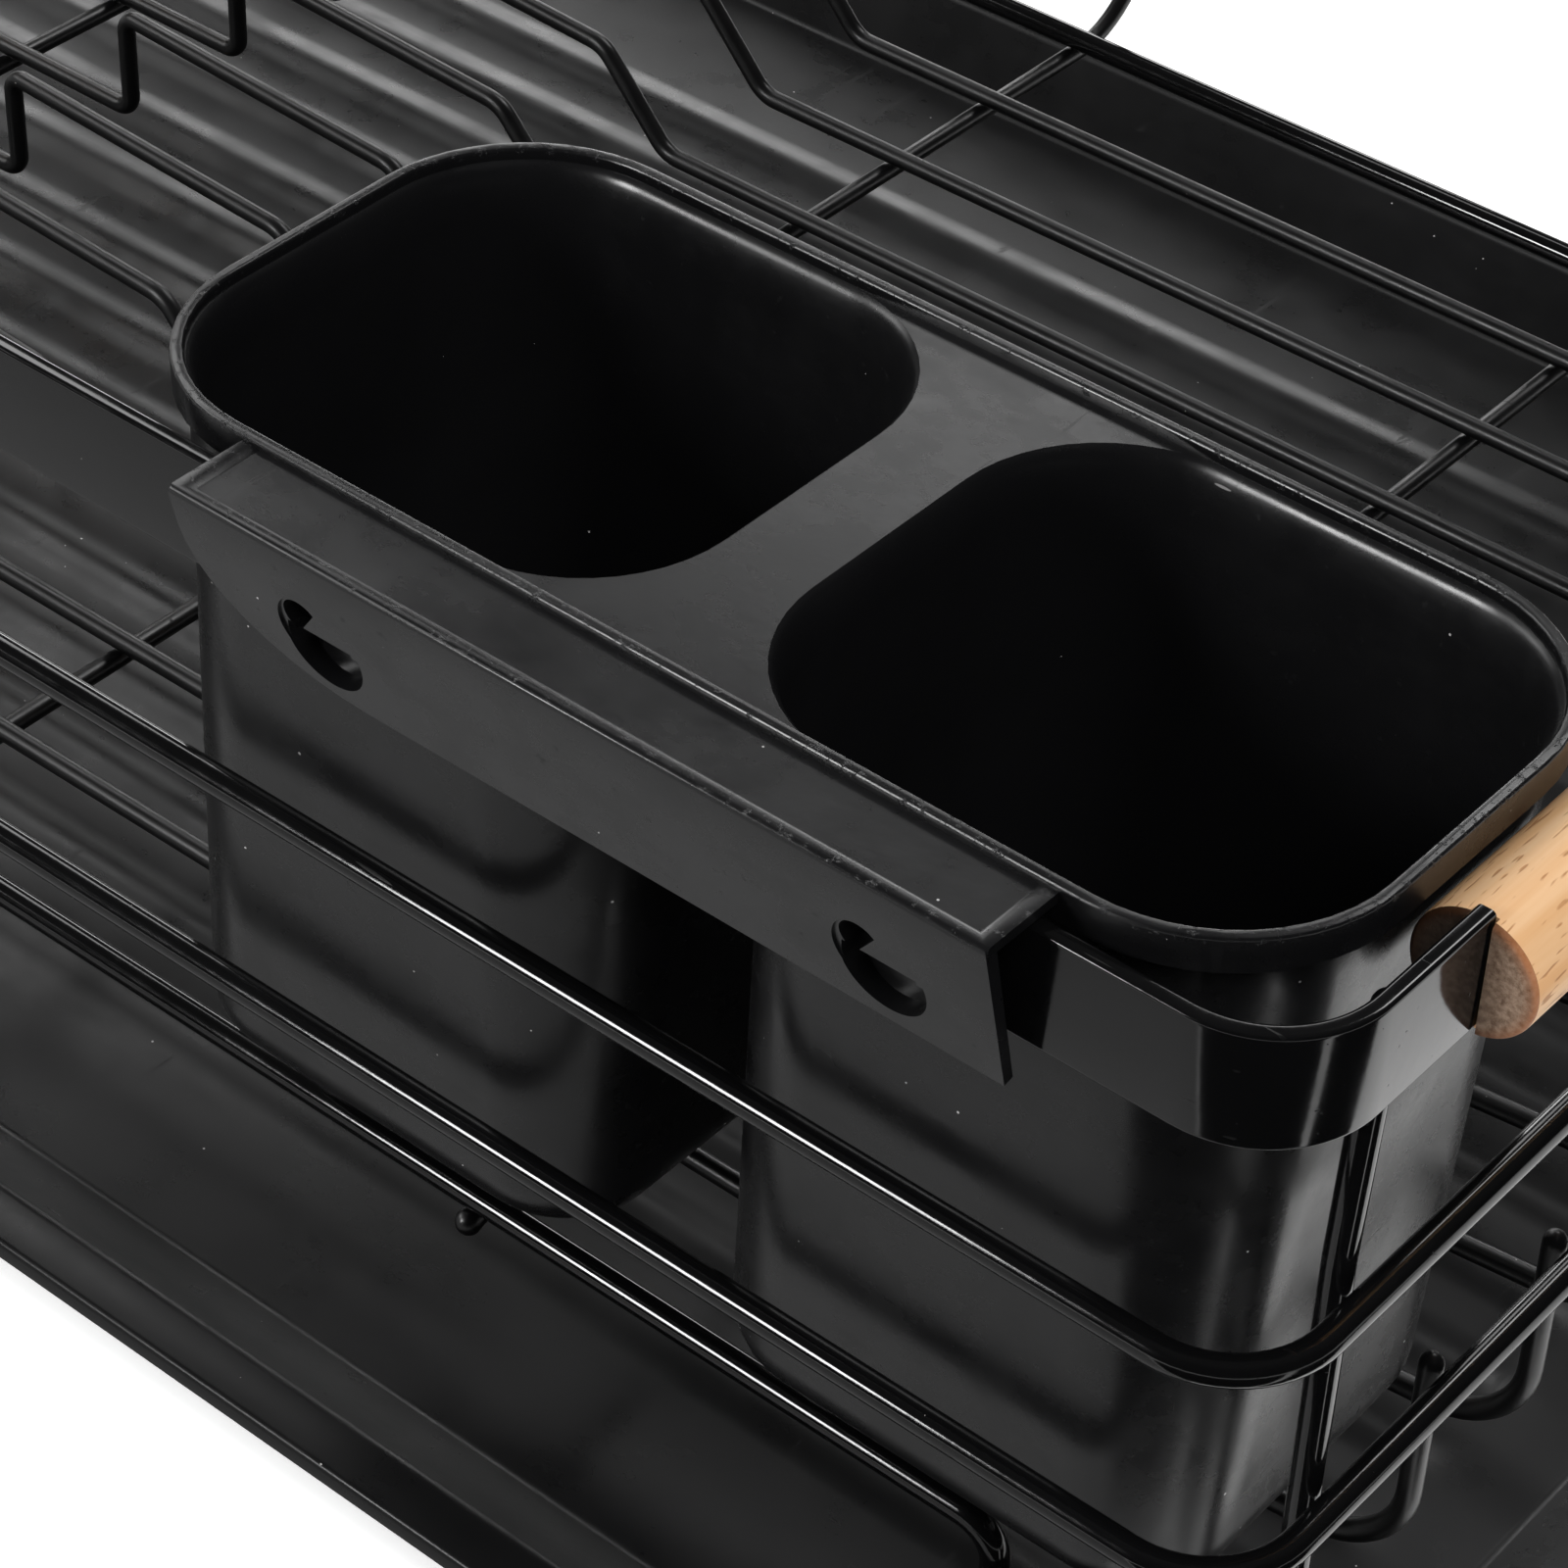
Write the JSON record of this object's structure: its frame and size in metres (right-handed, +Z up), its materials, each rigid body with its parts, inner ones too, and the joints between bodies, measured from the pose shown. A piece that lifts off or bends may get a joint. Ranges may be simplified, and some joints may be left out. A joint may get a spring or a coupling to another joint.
{
  "type": "dish drainer",
  "caption": "Dish drainer of black wire with wooden side handles, plate dividers, a hooked cutlery holder with open cups and a ribbed drip tray under it.",
  "frame": {"origin": "centre of the drip tray's underside", "axes": "+X along the rack's length towards the cutlery holder, +Y to the back, +Z up"},
  "size_m": [0.4992, 0.3392, 0.1525],
  "materials": {
    "drip_tray": "satin black moulded",
    "rim_band": "glossy black coating on flat steel",
    "handle": "pale sanded beech",
    "side_ring": "glossy black coating on steel wire",
    "leg_frame": "glossy black coating on steel wire",
    "floor_wire": "glossy black coating on steel wire",
    "cross_bar": "glossy black coating on steel wire",
    "cutlery_holder": "satin to gloss black moulded"
  },
  "bodies": {
    "tray": {"drip_tray": "drip_tray"},
    "rack": {"rim_band_front": "rim_band", "rim_band_back": "rim_band", "handle_left": "handle", "handle_right": "handle", "ring_upper": "side_ring", "ring_lower": "side_ring", "leg_frame_front": "leg_frame", "leg_frame_back": "leg_frame", "floor_wire_01": "floor_wire", "floor_wire_02": "floor_wire", "floor_wire_03": "floor_wire", "floor_wire_04": "floor_wire", "floor_wire_05": "floor_wire", "floor_wire_06": "floor_wire", "floor_wire_07": "floor_wire", "floor_wire_08": "floor_wire", "floor_wire_09": "floor_wire", "floor_wire_10": "floor_wire", "cross_bar_1": "cross_bar", "cross_bar_2": "cross_bar", "cross_bar_3": "cross_bar"},
    "holder": {"cutlery_holder": "cutlery_holder"}
  },
  "joints": [
    {"name": "rack_lift", "type": "slide", "parent": "tray", "child": "rack", "axis": [0, 0, 1], "range_m": [0, 0.05]},
    {"name": "holder_lift", "type": "slide", "parent": "rack", "child": "holder", "axis": [0, 0, 1], "range_m": [0, 0.12]}
  ]
}
